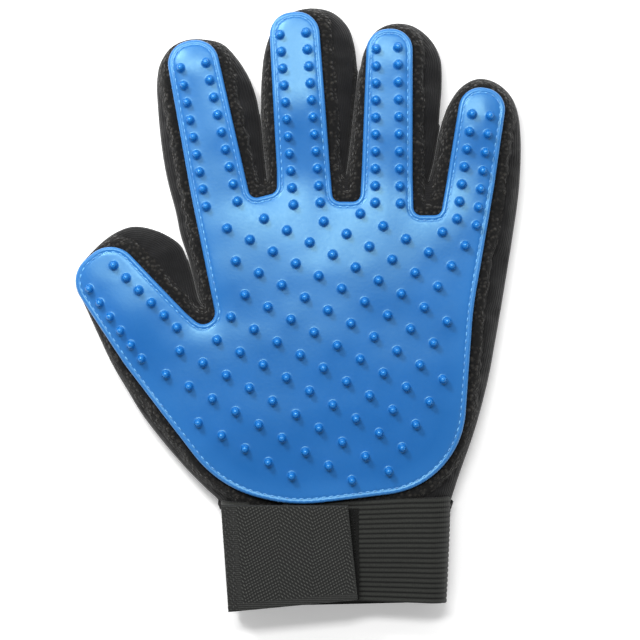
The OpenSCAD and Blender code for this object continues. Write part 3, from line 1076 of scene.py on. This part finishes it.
# The pad's outer wall, then all its faces with the part that owns each
start, end = borders(ptri).T
wall = np.vstack([np.column_stack([end, start, start + pcount]),
                  np.column_stack([end, start + pcount, end + pcount])])
edge_owner = {e: o for t, o in zip(ptri.tolist(), powner.tolist()) for e in sides(t)}
wall_owner = [edge_owner[e] for e in zip(start.tolist(), end.tolist())] * 2
pad_f = np.vstack([ptri[in_nub < 0], ptri[:, ::-1] + pcount, wall, np.array(nub_faces)])
pad_owner = np.concatenate([powner[in_nub < 0], powner, wall_owner, nub_owner])
pad_n = vertex_normals(pad_v, pad_f)


def pad_piece(name, chosen):
    """One part of the rubber, closed by a wall where it is cut from its neighbour."""
    used, f = chosen_part(pad_v, pad_f[chosen])
    v = pad_v[used]
    place = {u: i for i, u in enumerate(used.tolist())}
    cut = []
    for a, b in borders(f).tolist():
        a_low, b_low = place.get(int(used[a]) + pcount), place.get(int(used[b]) + pcount)
        if max(used[a], used[b]) < pcount and None not in (a_low, b_low):
            cut += [(b, a, a_low), (b, a_low, b_low)]
    normals = [pad_n[used][f].reshape(-1, 3)]
    if cut:
        q = v[cut]
        flat = unit(np.cross(q[:, 1] - q[:, 0], q[:, 2] - q[:, 0]))
        normals.append(np.repeat(flat, 3, axis=0))
        f = np.vstack([f, cut])
    make_piece("rubber_" + name, v, f, RUBBER, normals=np.vstack(normals),
               floats={"edge": pad_edge[used], "nub": pad_nub[used]}, replaces=["pad_" + name],
               slot="pad_rubber", body=name)


for k, part_name in enumerate(PARTS):
    pad_piece(part_name, pad_owner == k - 1)


# -------- stitches
def stitches(centres, directions, length, radius, sink):
    """Short rounded threads along the directions that dip at both ends, all in one mesh."""
    rings, corners = 7, 6
    lift = 0.12
    a = np.linspace(0, 2 * np.pi, corners, endpoint=False)
    w = np.linspace(-1, 1, rings)
    fat = radius * np.sqrt(np.clip(1 - w ** 2 * 0.8, 0.1, 1))
    rise = lift * (1 - w ** 2) - sink * w ** 2
    n = np.array([0.0, 0.0, 1.0])
    one = [tuple(range(corners))[::-1], tuple((rings - 1) * corners + k for k in range(corners))]
    for i in range(rings - 1):
        for k in range(corners):
            here, beside = i * corners + k, i * corners + (k + 1) % corners
            one.insert(-2, (here, beside, beside + corners, here + corners))
    v, f = [], []
    for c, d in zip(centres, directions):
        s = np.cross(d, n)
        section = np.cos(a)[None, :, None] * s + np.sin(a)[None, :, None] * n
        pts = (c + w[:, None, None] * d * length / 2 + rise[:, None, None] * n
               + fat[:, None, None] * section)
        f += [tuple(len(v) * rings * corners + i for i in q) for q in one]
        v.append(pts.reshape(-1, 3))
    return np.vstack(v), f


STITCH_STEP = 2.85
groove = inward(pad_line, GROOVE)
groove = resample(groove[~np.isnan(groove[:, 0])], STITCH_STEP, True)
along = unit(np.roll(groove, -1, axis=0) - np.roll(groove, 1, axis=0))
seat = crown(groove, fields(groove)[0]) + PAD_T - 0.2
centres = np.column_stack([groove, seat])
slope = np.clip(np.gradient(seat) / STITCH_STEP, -0.3, 0.3)
directions = unit(np.column_stack([along, slope]))
near_face = np.array([np.argmin(((pmid - g) ** 2).sum(1)) for g in groove])
for k, part_name in enumerate(PARTS):
    sel = powner[near_face] == k - 1
    v, f = stitches(centres[sel], directions[sel], 1.9, 0.24, 0.3)
    make_piece("stitches_" + part_name, v, f, THREAD, replaces=["seam_" + part_name],
               slot="thread", body=part_name)


# -------- cuff
cuff_lo, cuff_hi = box_mm("wrist_elastic")
CUFF_TOP = cuff_hi[1] + 1.3
# The gap in the front of the elastic, which the tab covers
SLOT_LEFT, SLOT_RIGHT = -19.5, -6.5
FRONT_END, BACK_END = -113.2, -117.2
RIBS = 21


def ring_section(depth, spacing):
    """Points (x, z, outward x, outward z) round the flattened cuff, from the slot's right on."""
    r = (cuff_hi[2] - cuff_lo[2]) / 2
    mid_z = (cuff_hi[2] + cuff_lo[2]) / 2
    right, left = cuff_hi[0] - r, cuff_lo[0] + r

    def flat(x0, x1, side):
        count = max(2, int(abs(x1 - x0) / spacing))
        return [(x, mid_z + (r - depth) * side, 0, side) for x in np.linspace(x0, x1, count)]

    def turn(x, a0):
        angles = np.linspace(a0, a0 + math.pi, 17)[1:-1]
        return [(x + math.sin(a) * (r - depth), mid_z + math.cos(a) * (r - depth),
                 math.sin(a), math.cos(a)) for a in angles]

    return np.array(flat(SLOT_RIGHT, right, 1) + turn(right, 0) + flat(right, left, -1)
                    + turn(left, math.pi) + flat(left, SLOT_LEFT, 1))


def cuff_grid(depth, s, push):
    """Grid of the cuff's surface at that depth under its outside, pushed outwards row by row.
    s runs from 0, the top edge, to 1."""
    x, z, out_x, out_z = ring_section(depth, 2.2).T
    front = smoothstep(5, 12, z)
    width = (x - cuff_lo[0]) / (cuff_hi[0] - cuff_lo[0])
    front_y = np.where(width < 0.6, FRONT_END, FRONT_END - 1.2 * (width - 0.6) / 0.4)
    end_y = front_y * front + (BACK_END + 2.0 * width) * (1 - front)
    top_y = CUFF_TOP + 0.25 * np.sin(x * 0.11) + 1.7 * smoothstep(12, 46, x) * front
    s = s[:, None]
    y = top_y + (end_y - top_y) * s
    # the sides lean in towards the open end, and the front dips between them
    xx = x + s ** 1.3 * (3.3 * (1 - width) - 1.6 * width)
    dip = np.sin(np.pi * np.clip(width, 0, 1)) * front * smoothstep(0.35, 1.0, s) * 1.6
    soft = noise(np.column_stack([xx.ravel(), y.ravel()]), 9, 4).reshape(xx.shape)
    zz = z - dip + 0.35 * soft * front * smoothstep(24, 32, x)
    push = push[:, None]
    return np.dstack([xx + out_x * push, y, zz + out_z * push])


rows = np.linspace(0, 1, 8 * RIBS + 1)
rib_height = np.sqrt(np.abs(np.sin(rows * RIBS * math.pi)))
hem = smoothstep(0, 0.02, rows) * smoothstep(1, 0.985, rows)
outer = cuff_grid(0.0, rows, 0.42 * rib_height - 0.42 - 0.1 * (1 - hem))
inner = cuff_grid(1.3, rows, np.zeros(len(rows)))
rib_value = np.repeat(rib_height, outer.shape[1])
grid_solid("elastic_cuff", outer, inner, ELASTIC, replaces=["wrist_elastic"], slot="elastic",
           floats={"rib": np.tile(rib_value, 2)})
rows = np.linspace(0.06, 0.25, 9)
outer = cuff_grid(1.45, rows, 0.1 * np.sin(np.linspace(0, math.pi, 9)))
inner = cuff_grid(2.15, rows, np.zeros(9))
grid_solid("inner_seam_tape", outer, inner, LINING, replaces=["cuff_seam_tape"], slot="seam_tape")


# -------- closure tab
def spaced(n, end):
    """Parameters from 0 to 1, close together near the ends so that edges can be rounded."""
    first = [0, end * 0.15, end * 0.45]
    return np.concatenate([first, np.linspace(end, 1 - end, n), 1 - np.array(first[::-1])])


def slab(corners, z_top, z_low, columns, rows, r, swell=0.0, soft=0.0):
    """Top and bottom grids of a four cornered strap with edges of radius r, and each point's distance
    in from its edge. Corners run top left, top right, bottom right, bottom left."""
    tl, tr, br, bl = [np.array(c, float) for c in corners]
    across, down = np.meshgrid(spaced(columns, 0.016), spaced(rows, 0.02))
    top_edge = tl + (tr - tl) * across[..., None]
    low_edge = bl + (br - bl) * across[..., None]
    p = top_edge + (low_edge - top_edge) * down[..., None]
    w, h = np.linalg.norm(tr - tl), np.linalg.norm(bl - tl)
    d = np.minimum(np.minimum(across, 1 - across) * w, np.minimum(down, 1 - down) * h)
    drop = r * (1 - quarter(d / r))
    bend = soft * noise(p.reshape(-1, 2), 12, 5).reshape(d.shape) * np.clip(d / 4, 0, 1)
    upper = z_top - drop + bend + swell * np.clip(d / 2.5, 0, 1)
    floor_z = z_low(p[..., 0]) if callable(z_low) else z_low
    lower = floor_z + np.minimum(drop, (upper - floor_z) * 0.4) + bend
    return np.dstack([p, upper]), np.dstack([p, lower]), d


tab_lo, tab_hi = box_mm("closure_tab")
SEWN_Z = box_mm("tab_root")[0][2] + 0.1
TAB_CORNERS = [(-30.5, -75.7), (18.6, -75.9), (22.4, -112.3), (-27.6, -117.1)]


def tape_underside(x):
    """The tape lies on the cuff where it is sewn, and above the hook patch past its fold."""
    return SEWN_Z + (tab_lo[2] - SEWN_Z) * smoothstep(-25.9, -24.9, x)


upper, lower, d = slab(TAB_CORNERS, tab_hi[2], tape_underside, 64, 48, 0.5, 0.1, 0.12)
# The border value is 1 where the tape shows its herringbone, and less along its edges and where
# its end is turned in
from_end = np.abs(upper[..., 0] - upper[:, :1, 0])
from_foot = np.abs(upper[..., 1] - upper[-1:, :, 1])
twill = smoothstep(0.4, 0.8, d) * smoothstep(5.2, 5.8, from_end) * smoothstep(2.4, 3.0, from_foot)
turned = smoothstep(0.5, 0.9, d) * smoothstep(4.6, 4.2, from_end) * 0.55
border = np.maximum(twill, turned)[:, ::-1].ravel()
grid_solid("closure_tape", upper[:, ::-1], lower[:, ::-1], TAPE,
           replaces=["closure_tab", "tab_root"], slot="woven_tape", body="closure",
           floats={"border": np.tile(border, 2)})
spots, leans = [], []
for x, lean in ((-25.5, 0.0), (-28.2, -0.035)):
    for y in np.arange(-115.2, -77.5, 2.6):
        spots.append((x + (y + 96) * lean, y, tab_hi[2] + 0.02))
        leans.append((lean, 1, 0))
v, f = stitches(np.array(spots), unit(np.array(leans)), 1.8, 0.26, 0.28)
make_piece("tab_stitches", v, f, DARK_THREAD, replaces=["tab_stitching"], slot="thread", body="hand")

# A tuft is a leaning three sided spike: foot ring 0 to 2, shoulder ring 3 to 5, tip 6
TUFT = [(0, 2, 1), (0, 1, 4), (0, 4, 3), (1, 2, 5), (1, 5, 4), (2, 0, 3), (2, 3, 5),
        (3, 4, 6), (4, 5, 6), (5, 3, 6)]
TUFT_H = 0.4
TUFT_GAP = 1.15
PATCH_BASE = 0.25


def pile_patch(name, node_name, right_ends, tuft, right_gap, material, slot_name, body):
    """A hook or loop patch: a thin woven base with a field of small tufts of that radius, which
    point up on the hand and down on the tab. right_ends says how far in the two right hand corners
    of the base lie from the node's box."""
    lo, hi = box_mm(node_name)
    (top_x, top_y), (low_x, low_y) = right_ends
    corners = [(lo[0] + 0.2, hi[1] - 0.2), (hi[0] - top_x, hi[1] - top_y),
               (hi[0] - low_x, lo[1] + low_y), (lo[0] + 0.2, lo[1] + 0.2)]
    up = body == "hand"
    s = 1 if up else -1
    base_z = lo[2] + PATCH_BASE if up else hi[2] - PATCH_BASE
    z_top, z_low = (base_z, lo[2]) if up else (hi[2], base_z)
    upper, lower, _ = slab(corners, z_top, z_low, 10, 10, 0.1)
    v = [g[:, ::-1].reshape(-1, 3) for g in (upper, lower)]
    faces = [tuple(q) for q in shell_faces(*upper.shape[:2])]
    start = 2 * len(v[0])
    rand = np.random.RandomState(11)
    for x in np.arange(lo[0] + 0.9, hi[0] - right_gap, TUFT_GAP):
        for y in np.arange(lo[1] + 1.4, hi[1] - 0.9, TUFT_GAP):
            cx, cy = x + rand.uniform(-0.15, 0.15), y + rand.uniform(-0.15, 0.15)
            lean = rand.uniform(-0.25, 0.25, 2)
            tip_z = base_z + s * TUFT_H
            ring = [(cx + tuft * math.cos(a), cy + tuft * math.sin(a)) for a in (0.3, 2.4, 4.5)]
            v.append([(px, py, base_z - s * 0.05) for px, py in ring]
                     + [(0.6 * px + 0.4 * cx + lean[0], 0.6 * py + 0.4 * cy + lean[1],
                         tip_z - s * TUFT_H * 0.35) for px, py in ring]
                     + [(cx + lean[0] * 1.6, cy + lean[1] * 1.6, tip_z)])
            faces += [tuple(start + k for k in q[::s]) for q in TUFT]
            start += 7
    make_piece(name, np.vstack(v), faces, material, replaces=[node_name], slot=slot_name, body=body)


pile_patch("loop_field", "loop_patch", ((0.4, 0.2), (0.2, 0.2)), 0.45, 0.9, LOOPS_AND_TAB_SHADOW, "loop_pile",
           "hand")
# the hook patch follows the slant of the tab's free end
pile_patch("hook_field", "hook_patch", ((3.4, 0.2), (0.3, 0.8)), 0.28, 3.6, HOOKS, "hook_tape",
           "tab")

# -------- stage, light and camera
FLOOR_HALF = 3
FLOOR_Z = -0.0003
floor_mesh = bpy.data.meshes.new("floor")
floor_mesh.from_pydata([(x * FLOOR_HALF, y * FLOOR_HALF, FLOOR_Z)
                        for x, y in ((-1, -1), (1, -1), (1, 1), (-1, 1))], [], [(0, 1, 2, 3)])
floor = new_object("floor", floor_mesh)
floor_mesh.materials.append(new_material(
    "pale_floor", Base_Color=(*grey(0.95), 1), Emission_Color=(*grey(1), 1), Emission_Strength=0.2,
    Roughness=0.9, Specular_IOR_Level=0.1)[0])

world = bpy.data.worlds.new("studio")
world.use_nodes = True
tree = world.node_tree
sky_height = split(tree, node(tree, "TexCoord").outputs["Generated"])[2]
sky = ramp(tree, sky_height, [(0.0, grey(1)), (0.5, grey(0.68)), (1.0, grey(0.05))])
feed(tree, tree.nodes["Background"].inputs[0], sky)
bpy.context.scene.world = world
bpy.context.scene.view_settings.view_transform = "Standard"


def area_light(name, place, aim, size, power):
    data = bpy.data.lights.new(name, "AREA")
    data.shape = "RECTANGLE"
    data.size, data.size_y = size
    data.energy = power
    o = new_object(name, data)
    o.location = place
    o.rotation_euler = (Vector(aim) - Vector(place)).to_track_quat("-Z", "Y").to_euler()


area_light("key", (-0.24, 0.34, 0.42), (0, 0, 0), (0.12, 0.12), 2.0)
area_light("softbox", (0.0, 0.42, 0.45), (0, 0.05, 0), (0.7, 0.25), 0.8)
area_light("overhead", (-0.04, 0.24, 0.66), (0, 0.05, 0), (0.36, 0.11), 3.1)

camera_data = bpy.data.cameras.new("camera")
camera_data.lens = 135
camera_data.sensor_width = 36
camera = new_object("camera", camera_data)
camera.location = (0.0078, -0.0043, 0.946)
bpy.context.scene.camera = camera
